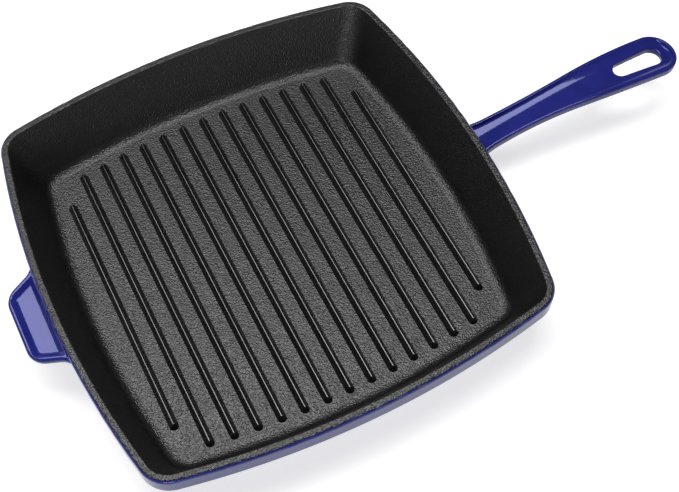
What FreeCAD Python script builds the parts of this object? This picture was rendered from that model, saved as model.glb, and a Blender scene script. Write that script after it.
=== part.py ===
"""Square ribbed skillet in enamelled cast iron, in millimetres.

The pan stands on its flat base at z = 0, centred on the origin, with the long handle along +X and
the short helper handle along -X. The real pan is one iron casting under a thin coat of enamel:
matt black inside and on top of the rim, glossy blue everywhere else. The casting is split here
where its regions meet, and each coat of the body is a shell that lies face to face on the iron.
"""
import FreeCAD
import Part

import math
import os

from FreeCAD import Vector

# ---- enamel ----
COAT = 0.4                    # thickness of every enamel coat
BLACK_BAND = 4.0              # inner edge of the rim to where its outer edge turns blue

# ---- pan body: its outlines are squares with bulged sides and round corners ----
RIM_HALF = 150.0              # centre to the rim's outer face, at the middle of a side
PAN_HEIGHT = 45.5
SIDE_RADIUS = 600.0           # bulge of all four sides, at every level
RIM_CORNER = 20.0             # corner radius of the rim's outer face
RIM_WIDTH = 5.2               # inner edge to outer face of the rim
RIM_ROUND = 2.3               # rounding on the rim's outer top edge
RIM_INNER_ROUND = 0.8         # rounding on the rim's inner edge
LIP_DEPTH = 13.5              # height of the rim's upright outer face, rounding included
LIP_BLEND = 9.0               # height over which the lip's underside runs back to the wall
LIP_UNDER_ROUND = 2.0         # rounding under the lip
LIP_BLEND_RADIUS = 8.0        # hollow where the lip's underside meets the wall
RIM_BAND = 24.0               # height of the casting's top region, which carries the rim
WALL_THICKNESS = 4.6          # wall, measured level
FLOOR_THICKNESS = 3.9         # base to the floor between the ridges
FLOOR_HALF = 128.2            # centre to where wall and floor would meet without their fillet
FLOOR_CORNER = 17.0           # corner radius there
FLOOR_FILLET = 7.5            # fillet between the floor and the wall
FLOOR_SEAM = 1.0              # edge of the floor's flat to where the floor region ends
BASE_FILLET = 8.5             # rounding between the base and the outer wall
OVERRUN = 5.0                 # how far a cutting shape runs past what it cuts

# ---- grill ridges, which run across the pan ----
RIDGE_COUNT = 15
RIDGE_PITCH = 15.36
RIDGE_HEIGHT = 4.4
RIDGE_BASE_WIDTH = 6.0
RIDGE_CROWN_RADIUS = 1.25
RIDGE_END_GAP = 4.8           # edge of the flat floor to the end of a ridge
RIDGE_SIDE_GAP = 8.6          # edge of the flat floor to the middle of an outer ridge's end

# ---- long handle, along +X: distances out from the rim, and drops below the top of the pan ----
HANDLE_WAIST_OUT = 33.0       # where the handle is narrowest
HANDLE_WAIST_HALF = 10.8      # half its width there
HANDLE_WAIST_RADIUS = 450.0   # hollow of its sides at the waist
HANDLE_FLARE_OUT = 16.0       # where the sides start to spread towards the pan
HANDLE_FLARE_RADIUS = 60.0
HANDLE_SPREAD = 60.0          # how far the sides turn outwards at the root, degrees
HANDLE_END_OUT = 144.6        # centre of the round end
HANDLE_END_RADIUS = 16.5
HANDLE_CREST_OUT = 112.0      # where the arched handle is highest
HANDLE_CREST_DROP = 3.7
HANDLE_ARCH_RADIUS = 490.0    # arch of the handle's top, seen from the side
HANDLE_THICKNESS = 7.4
HANDLE_TOP_ROUND = 1.3        # rounding on the handle's raised lips
HANDLE_UNDER_ROUND = 2.6      # rounding on its lower edges
HANDLE_ROOM = 40.0            # half width of the shapes that cut the handle
TROUGH_LIP = 2.6              # handle's edge to the edge of its trough
TROUGH_DEPTH = 3.8            # depth along the centre line, at the waist
TROUGH_RISE = 0.3             # how the trough gets shallower towards the end, degrees
TROUGH_HOLLOW = 30.0          # radius of the trough's floor, seen from the end
TROUGH_SWEEP = 25.0           # half the angle that the floor's sweep turns through, degrees
TROUGH_ROUND = 1.8            # fillet along the foot of the trough's sides
SLOT_START_OUT = 113.0        # hanging slot, its end nearer the pan
SLOT_END_OUT = 150.5
SLOT_START_RADIUS = 5.6       # the slot is a little wider at its outer end
SLOT_END_RADIUS = 7.0
SLOT_ROUND = 1.2              # rounding on the slot's upper edge

# ---- helper handle, along -X ----
HELPER_LENGTH = 20.8          # rim to the helper's outer edge
HELPER_OUTER_HALF = 24.8      # half its width at the outer edge, before the corners are rounded
HELPER_SPLAY = 24.0           # spread of its sides towards the pan, degrees
HELPER_CORNER = 13.0
HELPER_FLARE = 12.0           # hollow where its sides meet the rim
HELPER_ROOT_IN = 2.5          # the helper's shape runs this far inside the rim's outer face
HELPER_ROOT_HALF = 46.0       # half the width of that root
HELPER_TOP_DROP = 7.3         # top of the pan to the helper's lip, where it leaves the rim
HELPER_TILT = 8.0             # slope down towards the outer edge, degrees
HELPER_THICKNESS = 5.6
HELPER_TOP_ROUND = 1.8        # rounding on the raised lip
HELPER_UNDER_ROUND = 2.2      # rounding on its lower edges
RECESS_LIP = 3.1              # helper's edge to the edge of its recess
RECESS_DEPTH = 2.6
RECESS_SIDE_RUN = 2.8         # level width of the recess's sloping sides
RECESS_ROUND = 0.8            # fillet along the foot of those sides

# ---- places that follow from the sizes above ----
WAIST_X = RIM_HALF + HANDLE_WAIST_OUT
FLARE_X = RIM_HALF + HANDLE_FLARE_OUT
END_X = RIM_HALF + HANDLE_END_OUT
CREST_X = RIM_HALF + HANDLE_CREST_OUT
CREST_Z = PAN_HEIGHT - HANDLE_CREST_DROP
SLOT_START_X = RIM_HALF + SLOT_START_OUT
SLOT_END_X = RIM_HALF + SLOT_END_OUT
HELPER_END_X = -RIM_HALF - HELPER_LENGTH
HELPER_TOP_Z = PAN_HEIGHT - HELPER_TOP_DROP

# ---- small margins for picking edges out of a solid ----
CLOSE = 0.001                 # two heights this near are the same
NEAR = 0.01                   # a point this near a cylinder is on it
MARGIN = 1.0                  # slack of the boxes that edges are looked for in


def sector_angle(half, corner):
    """Half the angle, in radians, that one side's arc spans in an outline."""
    ratio = (half - corner) / (SIDE_RADIUS - corner)
    return math.asin((ratio - 1) / math.sqrt(2)) + math.pi / 4


def outline(half, corner, z):
    """Closed wire of a bulged square: half is its size at mid-side, corner its corner radius."""
    turn = sector_angle(half, corner)
    reach = SIDE_RADIUS - corner
    side_centre = Vector(half - SIDE_RADIUS, 0, z)
    corner_centre = side_centre + Vector(reach * math.cos(turn), reach * math.sin(turn), 0)

    def on_side(angle):
        return side_centre + Vector(SIDE_RADIUS * math.cos(angle), SIDE_RADIUS * math.sin(angle), 0)

    diagonal = math.pi / 4
    corner_middle = corner_centre + Vector(corner * math.cos(diagonal), corner * math.sin(diagonal), 0)
    corner_end = corner_centre + Vector(corner * math.sin(turn), corner * math.cos(turn), 0)
    side = Part.Arc(on_side(-turn), on_side(0), on_side(turn)).toShape()
    bend = Part.Arc(on_side(turn), corner_middle, corner_end).toShape()
    edges = []
    for quarter in range(4):
        for edge in (side, bend):
            copy = edge.copy()
            copy.rotate(Vector(0, 0, 0), Vector(0, 0, 1), 90 * quarter)
            edges.append(copy)
    return Part.Wire(Part.__sortEdges__(edges))


def edges_at(solid, z):
    """Edges of a solid that lie level at height z."""
    level = []
    for edge in solid.Edges:
        heights = [vertex.Point.z for vertex in edge.Vertexes] + [edge.CenterOfMass.z]
        if all(abs(height - z) < CLOSE for height in heights):
            level.append(edge)
    return level


def prism(half, corner, low, high):
    """Upright solid with a bulged square outline."""
    return Part.Face(outline(half, corner, low)).extrude(Vector(0, 0, high - low))


def inner_size(z):
    """Half size and corner radius of the cavity's sloping wall at height z."""
    rise = (z - FLOOR_THICKNESS) / (PAN_HEIGHT - FLOOR_THICKNESS)
    half = FLOOR_HALF + (RIM_HALF - RIM_WIDTH - FLOOR_HALF) * rise
    corner = FLOOR_CORNER + (RIM_CORNER - RIM_WIDTH - FLOOR_CORNER) * rise
    return half, corner


def cavity(grow):
    """Hollow of the pan, grown outwards by grow, running up past the rim."""
    low = FLOOR_THICKNESS - grow
    high = PAN_HEIGHT + OVERRUN
    wires = []
    for z in (low, high):
        half, corner = inner_size(z)
        wires.append(outline(half + grow, corner + grow, z))
    hollow = Part.makeLoft(wires, True, True)
    return hollow.makeFillet(FLOOR_FILLET + grow, edges_at(hollow, low))


def outer_body(inset):
    """Solid outside of the pan with its lip, moved inwards by inset."""
    lip_z = PAN_HEIGHT - LIP_DEPTH
    wall_z = lip_z - LIP_BLEND
    wires = []
    for z in (inset, wall_z):
        half, corner = inner_size(z)
        half += WALL_THICKNESS - inset
        corner += WALL_THICKNESS - inset
        wires.append(outline(half, corner, z))
    for z in (lip_z, PAN_HEIGHT - inset):
        wires.append(outline(RIM_HALF - inset, RIM_CORNER - inset, z))
    body = Part.makeLoft(wires, True, True)
    body = body.makeFillet(BASE_FILLET - inset, edges_at(body, inset))
    body = body.makeFillet(RIM_ROUND - inset, edges_at(body, PAN_HEIGHT - inset))
    body = body.makeFillet(LIP_UNDER_ROUND, edges_at(body, lip_z))
    return body.makeFillet(LIP_BLEND_RADIUS, edges_at(body, wall_z))


def rounded_body(inset, radius):
    """Pan body without its handles: the outside less the cavity, its inner rim edge rounded."""
    body = outer_body(inset).cut(cavity(inset))
    inner_edge = RIM_HALF - RIM_WIDTH + inset
    rim_edges = []
    for edge in edges_at(body, PAN_HEIGHT - inset):
        box = edge.BoundBox
        if max(abs(box.XMin), abs(box.XMax), abs(box.YMin), abs(box.YMax)) < inner_edge + radius:
            rim_edges.append(edge)
    return body.makeFillet(radius, rim_edges)


def flat_floor():
    """Half size and corner radius of the floor's flat, inside the fillet to the wall."""
    rise = PAN_HEIGHT - FLOOR_THICKNESS
    run = RIM_HALF - RIM_WIDTH - FLOOR_HALF
    fillet_run = FLOOR_FILLET * math.tan(math.atan2(rise, run) / 2)
    return FLOOR_HALF - fillet_run, FLOOR_CORNER - fillet_run


def make_ridge(index):
    """One grill ridge, standing on the floor, its section turned round at both ends."""
    x = (index - (RIDGE_COUNT - 1) / 2) * RIDGE_PITCH
    flat = flat_floor()[0]
    along = flat - RIDGE_END_GAP - SIDE_RADIUS + math.sqrt(SIDE_RADIUS ** 2 - x ** 2)
    room = SIDE_RADIUS - flat + RIDGE_SIDE_GAP + abs(x)
    foot_end = min(along, math.sqrt(SIDE_RADIUS ** 2 - room ** 2))
    foot = RIDGE_BASE_WIDTH / 2
    straight_end = foot_end - foot

    # the flanks run from the foot to where they touch the round crown
    centre_height = RIDGE_HEIGHT - RIDGE_CROWN_RADIUS
    foot_distance = math.hypot(foot, centre_height)
    touch = math.acos(RIDGE_CROWN_RADIUS / foot_distance) - math.atan2(centre_height, foot)

    def on_crown(angle):
        height = centre_height + RIDGE_CROWN_RADIUS * math.sin(angle)
        reach = RIDGE_CROWN_RADIUS * math.cos(angle)
        return Vector(x + reach, straight_end, FLOOR_THICKNESS + height)

    middle_foot = Vector(x, straight_end, FLOOR_THICKNESS)
    side_foot = Vector(x + foot, straight_end, FLOOR_THICKNESS)
    top = on_crown(math.pi / 2)
    edges = [
        Part.makeLine(middle_foot, side_foot),
        Part.makeLine(side_foot, on_crown(touch)),
        Part.Arc(on_crown(touch), on_crown((touch + math.pi / 2) / 2), top).toShape(),
        Part.makeLine(top, middle_foot),
    ]
    half = Part.Face(Part.Wire(edges))
    end = half.revolve(middle_foot, Vector(0, 0, 1), 180)
    side = half.extrude(Vector(0, -2 * straight_end, 0))
    far_end = end.mirror(Vector(0, 0, 0), Vector(0, 1, 0))
    ridge = side.fuse([side.mirror(Vector(x, 0, 0), Vector(1, 0, 0)), end, far_end])
    return ridge.removeSplitter()


def handle_plan(inset):
    """Face of the long handle seen from above, its sides and end moved in by inset, at z = 0."""
    offset = HANDLE_END_RADIUS - HANDLE_WAIST_HALF
    span = END_X - WAIST_X
    radii = (span ** 2 + offset ** 2) / (2 * offset)
    shoulder_radius = radii - HANDLE_WAIST_RADIUS
    waist = Vector(WAIST_X, HANDLE_WAIST_HALF + HANDLE_WAIST_RADIUS, 0)
    shoulder = Vector(END_X, HANDLE_END_RADIUS - shoulder_radius, 0)
    turn = math.asin((FLARE_X - WAIST_X) / HANDLE_WAIST_RADIUS)
    inward = Vector(math.sin(turn), -math.cos(turn), 0)
    flare = waist + inward * (HANDLE_WAIST_RADIUS - HANDLE_FLARE_RADIUS)
    spread = math.radians(HANDLE_SPREAD)

    def towards(centre, radius, angle):
        return centre + Vector(math.sin(angle), -math.cos(angle), 0) * radius

    def mirrored(point):
        return Vector(point.x, -point.y, point.z)

    flare_radius = HANDLE_FLARE_RADIUS + inset
    waist_radius = HANDLE_WAIST_RADIUS + inset
    root = towards(flare, flare_radius, -spread)
    flare_middle = towards(flare, flare_radius, (turn - spread) / 2)
    flare_end = towards(waist, waist_radius, turn)
    swing = math.asin(span / radii)
    waist_middle = towards(waist, waist_radius, (turn + swing) / 2)
    waist_end = towards(waist, waist_radius, swing)
    outward = Vector(math.sin(swing / 2), -math.cos(swing / 2), 0)
    shoulder_middle = shoulder - outward * (shoulder_radius - inset)
    shoulder_end = Vector(END_X, HANDLE_END_RADIUS - inset, 0)
    tip = Vector(END_X + HANDLE_END_RADIUS - inset, 0, 0)
    inner_end = Vector(min(FLOOR_HALF, root.x) - OVERRUN, root.y, 0)

    half = [
        (root, flare_middle, flare_end),
        (flare_end, waist_middle, waist_end),
        (waist_end, shoulder_middle, shoulder_end),
    ]
    edges = [Part.makeLine(inner_end, root)]
    edges += [Part.Arc(*points).toShape() for points in half]
    edges.append(Part.Arc(shoulder_end, tip, mirrored(shoulder_end)).toShape())
    for points in reversed(half):
        edges.append(Part.Arc(*[mirrored(point) for point in reversed(points)]).toShape())
    edges.append(Part.makeLine(mirrored(root), mirrored(inner_end)))
    edges.append(Part.makeLine(mirrored(inner_end), inner_end))
    return Part.Face(Part.Wire(edges))


def handle_axis():
    """Point on the axis of the long handle's arch."""
    return Vector(CREST_X, 0, CREST_Z - HANDLE_ARCH_RADIUS)


def arch_solid(radius):
    """Cylinder about the axis of the long handle's arch."""
    start = handle_axis() - Vector(0, HANDLE_ROOM, 0)
    return Part.makeCylinder(radius, 2 * HANDLE_ROOM, start, Vector(0, 1, 0))


def on_arch(edge, radius):
    """True where an edge lies on the arch cylinder of that radius and clear of the cut root."""
    axis = handle_axis()
    first, last = edge.ParameterRange
    for share in (0.0, 0.3, 0.5, 0.7, 1.0):
        point = edge.valueAt(first + (last - first) * share)
        if abs(math.hypot(point.x - axis.x, point.z - axis.z) - radius) > NEAR:
            return False
    box = edge.BoundBox
    return box.XLength > MARGIN or abs(box.XMin - END_X) < HANDLE_END_RADIUS


def trough_tool():
    """Shape that hollows the top of the long handle."""
    axis = handle_axis()
    lowest = CREST_Z - TROUGH_DEPTH
    centre_z = lowest + TROUGH_HOLLOW
    side = HANDLE_ROOM / 2
    side_z = centre_z - math.sqrt(TROUGH_HOLLOW ** 2 - side ** 2)
    base_z = lowest - HANDLE_THICKNESS
    left = Vector(CREST_X, -side, side_z)
    right = Vector(CREST_X, side, side_z)
    left_base = Vector(CREST_X, -side, base_z)
    right_base = Vector(CREST_X, side, base_z)
    edges = [
        Part.Arc(left, Vector(CREST_X, 0, lowest), right).toShape(),
        Part.makeLine(right, right_base),
        Part.makeLine(right_base, left_base),
        Part.makeLine(left_base, left),
    ]
    section = Part.Face(Part.Wire(edges))
    section.rotate(axis, Vector(0, 1, 0), -TROUGH_SWEEP)
    below = section.revolve(axis, Vector(0, 1, 0), 2 * TROUGH_SWEEP)
    below.rotate(Vector(WAIST_X, 0, CREST_Z), Vector(0, 1, 0), -TROUGH_RISE)
    tool = handle_plan(TROUGH_LIP).extrude(Vector(0, 0, CREST_Z + OVERRUN)).cut(below)
    foot_edges = []
    for face in tool.Faces:
        if face.Surface.TypeId == "Part::GeomToroid":
            foot_edges += [edge for edge in face.Edges if edge.BoundBox.XMax > FLARE_X]
    return tool.makeFillet(TROUGH_ROUND, foot_edges)


def slot_tool():
    """Upright shape of the hanging slot."""
    first = SLOT_START_X + SLOT_START_RADIUS
    last = SLOT_END_X - SLOT_END_RADIUS
    lean = math.asin((SLOT_END_RADIUS - SLOT_START_RADIUS) / (last - first))
    touch = Vector(-math.sin(lean), math.cos(lean), 0)
    start_touch = Vector(first, 0, 0) + touch * SLOT_START_RADIUS
    end_touch = Vector(last, 0, 0) + touch * SLOT_END_RADIUS
    start_mirror = Vector(start_touch.x, -start_touch.y, 0)
    end_mirror = Vector(end_touch.x, -end_touch.y, 0)
    edges = [
        Part.makeLine(start_touch, end_touch),
        Part.Arc(end_touch, Vector(SLOT_END_X, 0, 0), end_mirror).toShape(),
        Part.makeLine(end_mirror, start_mirror),
        Part.Arc(start_mirror, Vector(SLOT_START_X, 0, 0), start_touch).toShape(),
    ]
    return Part.Face(Part.Wire(edges)).extrude(Vector(0, 0, CREST_Z + OVERRUN))


def long_handle_solid():
    """Long handle with its trough and hanging slot, its root still running into the pan."""
    lower_radius = HANDLE_ARCH_RADIUS - HANDLE_THICKNESS
    bar = handle_plan(0).extrude(Vector(0, 0, CREST_Z + OVERRUN))
    bar = bar.common(arch_solid(HANDLE_ARCH_RADIUS)).cut(arch_solid(lower_radius))
    bar = bar.makeFillet(HANDLE_TOP_ROUND, [e for e in bar.Edges if on_arch(e, HANDLE_ARCH_RADIUS)])
    bar = bar.makeFillet(HANDLE_UNDER_ROUND, [e for e in bar.Edges if on_arch(e, lower_radius)])
    bar = bar.cut(trough_tool()).cut(slot_tool())

    middle_z = CREST_Z - HANDLE_THICKNESS
    slot_edges = []
    for edge in bar.Edges:
        box = edge.BoundBox
        along = box.XMin > SLOT_START_X - MARGIN and box.XMax < SLOT_END_X + MARGIN
        across = max(box.YMax, -box.YMin) < SLOT_END_RADIUS + MARGIN
        if along and across and box.ZMin > middle_z + MARGIN and box.ZLength < MARGIN:
            slot_edges.append(edge)
    return bar.makeFillet(SLOT_ROUND, slot_edges)


def helper_half(x, inset):
    """Half the helper's width at x, before any rounding, its sides moved in by inset."""
    splay = math.radians(HELPER_SPLAY)
    return HELPER_OUTER_HALF + (x - HELPER_END_X) * math.tan(splay) - inset / math.cos(splay)


def closed_wire(half_points, z):
    """Closed wire through points with y below zero and their mirror images, at height z."""
    points = [(x, -y) for x, y in half_points]
    points += [(x, y) for x, y in reversed(half_points)]
    points.append(points[0])
    return Part.makePolygon([Vector(x, y, z) for x, y in points])


def recess_wire(inset, z):
    """Outline of the helper's recess, moved in by inset, with a side along the rim."""
    outer_x = HELPER_END_X + inset
    inner_x = -RIM_HALF - inset + RECESS_LIP
    places = (inner_x, outer_x)
    return closed_wire([(x, helper_half(x, inset)) for x in places], z)


def upright_edges(solid, low_x, high_x):
    """Steep edges of a solid that lie between two places along X."""
    found = []
    for edge in solid.Edges:
        box = edge.BoundBox
        if box.XMin > low_x and box.XMax < high_x and box.ZLength > MARGIN:
            found.append(edge)
    return found


def helper_solid():
    """Helper handle: a tilted tab with a recessed top, its root still running into the pan."""
    root_x = -RIM_HALF + HELPER_ROOT_IN
    inner_x = root_x + OVERRUN
    middle_x = HELPER_END_X + HELPER_LENGTH / 2
    half_points = [
        (inner_x, HELPER_ROOT_HALF),
        (root_x, HELPER_ROOT_HALF),
        (root_x, helper_half(root_x, 0)),
        (HELPER_END_X, HELPER_OUTER_HALF),
    ]
    tab = Part.Face(closed_wire(half_points, -HELPER_THICKNESS)).extrude(Vector(0, 0, HELPER_THICKNESS))
    tab = tab.makeFillet(HELPER_CORNER, upright_edges(tab, HELPER_END_X - MARGIN, middle_x))
    flares = []
    for edge in upright_edges(tab, middle_x, root_x + MARGIN):
        if abs(edge.CenterOfMass.y) < HELPER_ROOT_HALF - MARGIN:
            flares.append(edge)
    tab = tab.makeFillet(HELPER_FLARE, flares)
    for z, radius in ((0, HELPER_TOP_ROUND), (-HELPER_THICKNESS, HELPER_UNDER_ROUND)):
        rim = [e for e in edges_at(tab, z) if e.BoundBox.XMin < root_x - MARGIN]
        tab = tab.makeFillet(radius, rim)

    # the recess's sides keep their slope above the tab, so that the tool cuts right through its top
    slope = RECESS_SIDE_RUN / RECESS_DEPTH
    top = recess_wire(RECESS_LIP - slope * MARGIN, MARGIN)
    bottom = recess_wire(RECESS_LIP + RECESS_SIDE_RUN, -RECESS_DEPTH)
    tool = Part.makeLoft([bottom, top], True, True)
    corner = HELPER_CORNER - RECESS_LIP - RECESS_SIDE_RUN
    tool = tool.makeFillet(corner, upright_edges(tool, HELPER_END_X - MARGIN, middle_x))
    tab = tab.cut(tool.makeFillet(RECESS_ROUND, edges_at(tool, -RECESS_DEPTH)))

    tab.translate(Vector(0, 0, HELPER_TOP_Z))
    tab.rotate(Vector(-RIM_HALF, 0, HELPER_TOP_Z), Vector(0, 1, 0), -HELPER_TILT)
    return tab


def make_body():
    """Regions of the casting's body and the coats on it, by name."""
    whole = rounded_body(0, RIM_INNER_ROUND)
    iron = rounded_body(COAT, RIM_INNER_ROUND - COAT)
    flat_half, flat_corner = flat_floor()
    seam_half = flat_half - FLOOR_SEAM
    floor_column = prism(seam_half, flat_corner - FLOOR_SEAM, 0, FLOOR_THICKNESS)
    rim_column = prism(RIM_HALF + OVERRUN, RIM_CORNER, PAN_HEIGHT - RIM_BAND, PAN_HEIGHT)
    shell = whole.cut(iron)
    inset = RIM_WIDTH - BLACK_BAND
    rim_top = prism(RIM_HALF - inset, RIM_CORNER - inset, PAN_HEIGHT - RIM_ROUND, PAN_HEIGHT + OVERRUN)
    black_side = cavity(WALL_THICKNESS / 2).fuse(rim_top)
    blue = shell.cut(black_side)
    return {
        "floor_iron": iron.common(floor_column),
        "wall_iron": iron.cut(floor_column).cut(rim_column),
        "rim_iron": iron.common(rim_column),
        "interior_enamel": shell.common(black_side),
        "exterior_enamel": blue.cut(floor_column),
        "base_enamel": blue.common(floor_column),
    }


def build():
    """All sub-parts of the skillet, by node name."""
    parts = make_body()
    iron_outside = outer_body(COAT)
    handles = {"long_handle": long_handle_solid(), "helper_handle": helper_solid()}
    for name, solid in handles.items():
        parts["exterior_enamel"] = parts["exterior_enamel"].cut(solid)
        parts[name] = solid.cut(iron_outside)
    for index in range(RIDGE_COUNT):
        parts["grill_ridge_%02d" % (index + 1)] = make_ridge(index)
    return parts


os.makedirs("parts", exist_ok=True)
for node, shape in build().items():
    shape.exportStep("parts/%s.step" % node)
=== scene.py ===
"""Looks of the square ribbed skillet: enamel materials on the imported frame, floor, lights, camera.

Everything is in metres, in the frame of the CAD model: +X along the long handle, +Z up, the pan
standing on its base at z = 0.
"""
import math

import bpy
from mathutils import Matrix, Vector


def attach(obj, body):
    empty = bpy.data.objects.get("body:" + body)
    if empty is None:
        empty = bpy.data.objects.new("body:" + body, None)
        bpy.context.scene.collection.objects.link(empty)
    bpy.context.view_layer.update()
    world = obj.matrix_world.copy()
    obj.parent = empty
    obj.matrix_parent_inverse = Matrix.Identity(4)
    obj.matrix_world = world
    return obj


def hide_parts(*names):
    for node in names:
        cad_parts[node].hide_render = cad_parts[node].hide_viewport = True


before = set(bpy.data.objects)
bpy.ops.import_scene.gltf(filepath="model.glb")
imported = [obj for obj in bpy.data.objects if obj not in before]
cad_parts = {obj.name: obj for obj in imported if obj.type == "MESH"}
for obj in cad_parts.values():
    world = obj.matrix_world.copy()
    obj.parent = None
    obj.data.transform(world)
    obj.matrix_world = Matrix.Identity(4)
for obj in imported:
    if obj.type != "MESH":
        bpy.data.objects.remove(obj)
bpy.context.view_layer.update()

MM = 0.001

# ---- spans of a noise texture's value that a colour or a roughness is spread over ----
NOISE_SPAN = (0.30, 0.70)
NARROW_SPAN = (0.35, 0.65)

# ---- matt black enamel of the inside; scales are in noise cells per metre ----
BLACK_GRAIN = 1150.0
BLACK_CLOUD = 60.0
BLACK_SPECULAR = 0.8
BLACK_COLOURS = ((0.0004, 0.0004, 0.0004), (0.0040, 0.0039, 0.0036))
BLACK_ROUGHNESS = (0.36, 0.42)
BLACK_BUMP = 1.0
BLACK_BUMP_HEIGHT = 0.40 * MM

# ---- smoother enamel over the ridges ----
RIDGE_GRAIN = 700.0
RIDGE_SPECULAR = 1.0
RIDGE_COLOURS = ((0.004, 0.004, 0.004), (0.012, 0.012, 0.012))
RIDGE_ROUGHNESS = (0.10, 0.16)
RIDGE_BUMP = 0.15
RIDGE_BUMP_HEIGHT = 0.10 * MM

# ---- glossy cobalt blue enamel ----
BLUE_CLOUD = 45.0
BLUE_PEEL = 350.0
BLUE_IOR = 1.52
BLUE_TINT = (0.60, 0.62, 1.0, 1.0)
BLUE_COLOURS = ((0.016, 0.020, 0.176), (0.024, 0.028, 0.230))
BLUE_ROUGHNESS = (0.07, 0.11)
BLUE_BUMP = 0.04
BLUE_BUMP_HEIGHT = 0.20 * MM

# ---- bare cast iron under the enamel ----
IRON_GRAIN = 500.0
IRON_METALLIC = 0.8
IRON_COLOURS = ((0.07, 0.07, 0.075), (0.13, 0.13, 0.135))
IRON_ROUGHNESS = (0.5, 0.7)
IRON_BUMP = 0.6
IRON_BUMP_HEIGHT = 0.30 * MM

# ---- soft edges of the enamelled handles ----
SOFT_VOXEL = 0.40 * MM        # grid that a handle is remeshed on
SOFT_FACTOR = 0.5             # strength of one smoothing pass
SOFT_ROUNDS = 6               # smoothing passes

# ---- floor and backdrop, both white to camera, glossy and transmission rays ----
FLOOR_HALF = 12.0
FLOOR_LEVEL = -0.2 * MM       # a hair under the base, so that the two faces never share a plane
FLOOR_GREY = 0.62
FLOOR_GLOW = (0.70, 1.0)      # its emission for those rays, near the pan and far away
FLOOR_GLOW_REACH = (0.5, 2.5)  # distances from the pan's middle where it has those two
BACKDROP_RADIUS = 11.5
BACKDROP_HEIGHT = 2.4
BACKDROP_SIDES = 96

# ---- light: name, place, width, height, radiance of the face where 1 is white ----
WORLD_LEVEL = 0.02
SOFTBOX_AIM = Vector((0.0, 0.0, 0.0))
SOFTBOXES = (
    ("main_softbox", (0.09, 0.20, 1.36), 1.2, 0.5, 8.0),
    ("helper_softbox", (-0.56, 0.68, 1.10), 0.4, 0.4, 7.0),
    ("front_softbox", (-0.7, -1.2, 0.36), 0.6, 0.4, 7.0),
)

# ---- camera ----
CAMERA_AZIMUTH = -25.76       # degrees round from -Y towards +X
CAMERA_ELEVATION = 59.73
CAMERA_ROLL = -1.05
CAMERA_DISTANCE = 0.8197
CAMERA_TARGET = Vector((0.0416, -0.0178, 0.0))
CAMERA_LENS = 64.85
CAMERA_SENSOR = 36.0
CAMERA_CLIP = (0.01, 20.0)


def new_material(name):
    """Empty node material, its node tree and its output node."""
    material = bpy.data.materials.new(name)
    material.use_nodes = True
    tree = material.node_tree
    tree.nodes.clear()
    output = tree.nodes.new("ShaderNodeOutputMaterial")
    return material, tree, output


def add_node(tree, kind, **settings):
    """Node of that kind with its attributes set."""
    made = tree.nodes.new(kind)
    for key, value in settings.items():
        setattr(made, key, value)
    return made


def object_position(tree):
    """Object coordinates of the shaded point."""
    return add_node(tree, "ShaderNodeTexCoord").outputs["Object"]


def noise(tree, position, scale, detail, roughness=0.5):
    """Value of a noise texture; scale is in cells per metre, detail in finer octaves."""
    texture = add_node(tree, "ShaderNodeTexNoise")
    texture.inputs["Scale"].default_value = scale
    texture.inputs["Detail"].default_value = detail
    texture.inputs["Roughness"].default_value = roughness
    tree.links.new(position, texture.inputs["Vector"])
    return texture.outputs["Fac"]


def remap(tree, value, source, target):
    """Value mapped from one span to another, clamped."""
    node = add_node(tree, "ShaderNodeMapRange")
    for name, number in zip(("From Min", "From Max", "To Min", "To Max"), (*source, *target)):
        node.inputs[name].default_value = number
    tree.links.new(value, node.inputs["Value"])
    return node.outputs["Result"]


def ramp(tree, value, span, colours):
    """Colour that runs from the first to the second as the value crosses the span."""
    node = add_node(tree, "ShaderNodeValToRGB")
    for element, place, colour in zip(node.color_ramp.elements, span, colours):
        element.position = place
        element.color = (*colour, 1.0)
    tree.links.new(value, node.inputs["Fac"])
    return node.outputs["Color"]


def bump(tree, height, strength, distance):
    """Normal bumped by a height value; distance in metres."""
    node = add_node(tree, "ShaderNodeBump")
    node.inputs["Strength"].default_value = strength
    node.inputs["Distance"].default_value = distance
    tree.links.new(height, node.inputs["Height"])
    return node.outputs["Normal"]


def matt_black_enamel():
    """Matt black enamel of the pan's inside, with a fine pebbly grain."""
    material, tree, output = new_material("matt_black_enamel")
    position = object_position(tree)
    grain = noise(tree, position, BLACK_GRAIN, detail=0.0)
    cloud = noise(tree, position, BLACK_CLOUD, detail=3.0)
    shader = add_node(tree, "ShaderNodeBsdfPrincipled")
    shader.inputs["Specular IOR Level"].default_value = BLACK_SPECULAR
    colour = ramp(tree, grain, NARROW_SPAN, BLACK_COLOURS)
    tree.links.new(colour, shader.inputs["Base Color"])
    rough = remap(tree, cloud, NOISE_SPAN, BLACK_ROUGHNESS)
    tree.links.new(rough, shader.inputs["Roughness"])
    normal = bump(tree, grain, BLACK_BUMP, BLACK_BUMP_HEIGHT)
    tree.links.new(normal, shader.inputs["Normal"])
    tree.links.new(shader.outputs["BSDF"], output.inputs["Surface"])
    return material


def ridge_enamel():
    """The same enamel where it flowed smooth over the ridges: glossier, with less grain."""
    material, tree, output = new_material("ridge_enamel")
    grain = noise(tree, object_position(tree), RIDGE_GRAIN, detail=2.0)
    shader = add_node(tree, "ShaderNodeBsdfPrincipled")
    shader.inputs["Specular IOR Level"].default_value = RIDGE_SPECULAR
    colour = ramp(tree, grain, NOISE_SPAN, RIDGE_COLOURS)
    tree.links.new(colour, shader.inputs["Base Color"])
    rough = remap(tree, grain, NOISE_SPAN, RIDGE_ROUGHNESS)
    tree.links.new(rough, shader.inputs["Roughness"])
    normal = bump(tree, grain, RIDGE_BUMP, RIDGE_BUMP_HEIGHT)
    tree.links.new(normal, shader.inputs["Normal"])
    tree.links.new(shader.outputs["BSDF"], output.inputs["Surface"])
    return material


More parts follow.
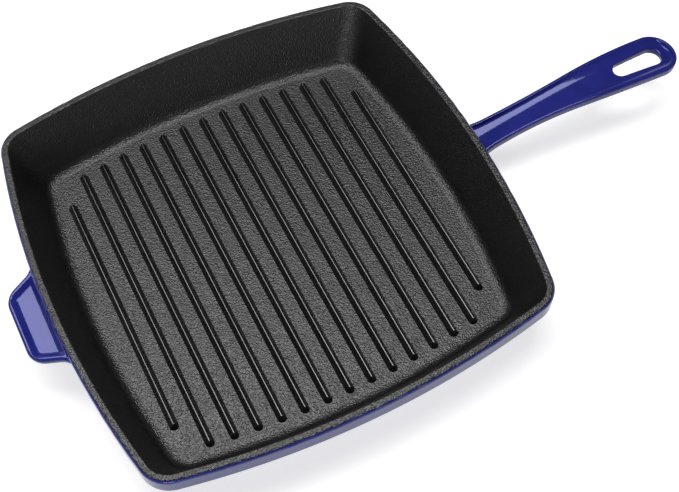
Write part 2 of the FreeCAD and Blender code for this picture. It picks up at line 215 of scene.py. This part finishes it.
def blue_enamel():
    """Glossy cobalt blue enamel with a faint orange peel."""
    material, tree, output = new_material("blue_enamel")
    position = object_position(tree)
    cloud = noise(tree, position, BLUE_CLOUD, detail=3.0)
    peel = noise(tree, position, BLUE_PEEL, detail=2.0)
    shader = add_node(tree, "ShaderNodeBsdfPrincipled")
    shader.inputs["IOR"].default_value = BLUE_IOR
    shader.inputs["Specular Tint"].default_value = BLUE_TINT
    colour = ramp(tree, cloud, NOISE_SPAN, BLUE_COLOURS)
    tree.links.new(colour, shader.inputs["Base Color"])
    rough = remap(tree, peel, NOISE_SPAN, BLUE_ROUGHNESS)
    tree.links.new(rough, shader.inputs["Roughness"])
    normal = bump(tree, peel, BLUE_BUMP, BLUE_BUMP_HEIGHT)
    tree.links.new(normal, shader.inputs["Normal"])
    tree.links.new(shader.outputs["BSDF"], output.inputs["Surface"])
    return material


def bare_iron():
    """Grey cast iron, seen nowhere while the enamel is whole."""
    material, tree, output = new_material("cast_iron")
    grain = noise(tree, object_position(tree), IRON_GRAIN, detail=3.0, roughness=0.6)
    shader = add_node(tree, "ShaderNodeBsdfPrincipled")
    shader.inputs["Metallic"].default_value = IRON_METALLIC
    colour = ramp(tree, grain, NOISE_SPAN, IRON_COLOURS)
    tree.links.new(colour, shader.inputs["Base Color"])
    rough = remap(tree, grain, NOISE_SPAN, IRON_ROUGHNESS)
    tree.links.new(rough, shader.inputs["Roughness"])
    normal = bump(tree, grain, IRON_BUMP, IRON_BUMP_HEIGHT)
    tree.links.new(normal, shader.inputs["Normal"])
    tree.links.new(shader.outputs["BSDF"], output.inputs["Surface"])
    return material


def paint(node, material):
    """Give a CAD node's object one material."""
    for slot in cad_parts[node].material_slots:
        slot.material = material


BLACK = matt_black_enamel()
RIDGE = ridge_enamel()
BLUE = blue_enamel()
IRON = bare_iron()

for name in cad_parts:
    if name.startswith("grill_ridge"):
        paint(name, RIDGE)
    elif name == "interior_enamel":
        paint(name, BLACK)
    elif name.endswith("_iron"):
        paint(name, IRON)
    else:
        paint(name, BLUE)


def softened(node, name):
    """Copy of a blue CAD node with the soft edges that enamel gives it, standing for the node."""
    piece = bpy.data.objects.new(name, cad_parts[node].data.copy())
    bpy.context.scene.collection.objects.link(piece)
    remesh = piece.modifiers.new("grid", "REMESH")
    remesh.mode = "VOXEL"
    remesh.voxel_size = SOFT_VOXEL
    remesh.use_smooth_shade = True
    smooth = piece.modifiers.new("soft", "SMOOTH")
    smooth.factor = SOFT_FACTOR
    smooth.iterations = SOFT_ROUNDS
    shaped = piece.evaluated_get(bpy.context.evaluated_depsgraph_get())
    made = bpy.data.meshes.new_from_object(shaped)
    piece.modifiers.clear()
    piece.data = made
    made.materials.clear()
    made.materials.append(BLUE)
    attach(piece, "root")
    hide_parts(node)


softened("long_handle", "long_handle_enamelled")
softened("helper_handle", "helper_handle_enamelled")


def larger(tree, first, second):
    """Larger of two values."""
    node = add_node(tree, "ShaderNodeMath", operation="MAXIMUM")
    tree.links.new(first, node.inputs[0])
    tree.links.new(second, node.inputs[1])
    return node.outputs[0]


def product(tree, first, second):
    """Product of two values."""
    node = add_node(tree, "ShaderNodeMath", operation="MULTIPLY")
    tree.links.new(first, node.inputs[0])
    tree.links.new(second, node.inputs[1])
    return node.outputs[0]


def sight_rays(tree):
    """1 for camera, glossy and transmission rays, 0 for diffuse and shadow rays."""
    path = add_node(tree, "ShaderNodeLightPath")
    seen = larger(tree, path.outputs["Is Camera Ray"], path.outputs["Is Glossy Ray"])
    return larger(tree, seen, path.outputs["Is Transmission Ray"])


def emission(tree, strength):
    """White emission of that strength."""
    glow = add_node(tree, "ShaderNodeEmission")
    tree.links.new(strength, glow.inputs["Strength"])
    return glow.outputs[0]


def stage_object(name, points, faces, material):
    """Mesh object with one material, linked to the scene."""
    mesh = bpy.data.meshes.new(name)
    mesh.from_pydata(points, [], faces)
    mesh.materials.append(material)
    made = bpy.data.objects.new(name, mesh)
    bpy.context.scene.collection.objects.link(made)
    return made


def floor_material():
    """Pale grey that takes the pan's shadow, plus a glow that makes it white to the eye."""
    material, tree, output = new_material("studio_floor")
    diffuse = add_node(tree, "ShaderNodeBsdfDiffuse")
    diffuse.inputs["Color"].default_value = (FLOOR_GREY, FLOOR_GREY, FLOOR_GREY, 1)
    away = add_node(tree, "ShaderNodeVectorMath", operation="LENGTH")
    tree.links.new(object_position(tree), away.inputs[0])
    strength = remap(tree, away.outputs["Value"], FLOOR_GLOW_REACH, FLOOR_GLOW)
    total = add_node(tree, "ShaderNodeAddShader")
    tree.links.new(diffuse.outputs[0], total.inputs[0])
    tree.links.new(emission(tree, product(tree, sight_rays(tree), strength)), total.inputs[1])
    tree.links.new(total.outputs[0], output.inputs["Surface"])
    return material


def make_floor():
    """White sweep of floor that keeps the pan's shadow and is plain white far away."""
    half = FLOOR_HALF
    points = [(x, y, FLOOR_LEVEL) for x, y in ((-half, -half), (half, -half), (half, half), (-half, half))]
    floor = stage_object("studio_floor", points, [(0, 1, 2, 3)], floor_material())


def backdrop_material():
    """White to the eye and in reflections, with no diffuse light on the object."""
    material, tree, output = new_material("studio_backdrop")
    tree.links.new(emission(tree, sight_rays(tree)), output.inputs["Surface"])
    return material


def make_backdrop():
    """White ring far round the pan, seen behind it from low down."""
    turns = [math.tau * step / BACKDROP_SIDES for step in range(BACKDROP_SIDES)]
    ring = [(BACKDROP_RADIUS * math.cos(turn), BACKDROP_RADIUS * math.sin(turn)) for turn in turns]
    points = [(x, y, z) for z in (FLOOR_LEVEL, BACKDROP_HEIGHT) for x, y in ring]
    faces = []
    for step in range(BACKDROP_SIDES):
        after = (step + 1) % BACKDROP_SIDES
        faces.append((step, after, after + BACKDROP_SIDES, step + BACKDROP_SIDES))
    backdrop = stage_object("studio_backdrop", points, faces, backdrop_material())


def softbox(name, place, width, height, radiance):
    """Rectangular area light at place that faces the pan's middle."""
    light = bpy.data.lights.new(name, "AREA")
    light.shape = "RECTANGLE"
    light.size = width
    light.size_y = height
    light.energy = radiance * math.pi * width * height
    lamp = bpy.data.objects.new(name, light)
    bpy.context.scene.collection.objects.link(lamp)
    lamp.location = place
    lamp.rotation_mode = "QUATERNION"
    lamp.rotation_quaternion = (SOFTBOX_AIM - Vector(place)).to_track_quat("-Z", "Y")


def make_world():
    """Faint even light from all round."""
    world = bpy.data.worlds.new("studio")
    world.use_nodes = True
    background = world.node_tree.nodes["Background"]
    background.inputs["Color"].default_value = (1, 1, 1, 1)
    background.inputs["Strength"].default_value = WORLD_LEVEL
    bpy.context.scene.world = world


def make_camera():
    """Camera that looks down at the pan from its near left side."""
    azimuth, elevation, roll = (
        math.radians(angle) for angle in (CAMERA_AZIMUTH, CAMERA_ELEVATION, CAMERA_ROLL))
    level = math.cos(elevation)
    back = Vector((math.sin(azimuth) * level, -math.cos(azimuth) * level, math.sin(elevation)))
    side = (-back).cross(Vector((0, 0, 1))).normalized()
    up = side.cross(-back)
    right = side * math.cos(roll) + up * math.sin(roll)
    top = up * math.cos(roll) - side * math.sin(roll)
    data = bpy.data.cameras.new("camera")
    data.lens = CAMERA_LENS
    data.sensor_width = CAMERA_SENSOR
    data.clip_start, data.clip_end = CAMERA_CLIP
    camera = bpy.data.objects.new("camera", data)
    bpy.context.scene.collection.objects.link(camera)
    turn = Matrix((right, top, back)).transposed()
    camera.matrix_world = Matrix.Translation(CAMERA_TARGET + back * CAMERA_DISTANCE) @ turn.to_4x4()
    bpy.context.scene.camera = camera


make_floor()
make_backdrop()
make_world()
for box in SOFTBOXES:
    softbox(*box)
make_camera()
bpy.context.scene.view_settings.view_transform = "Standard"
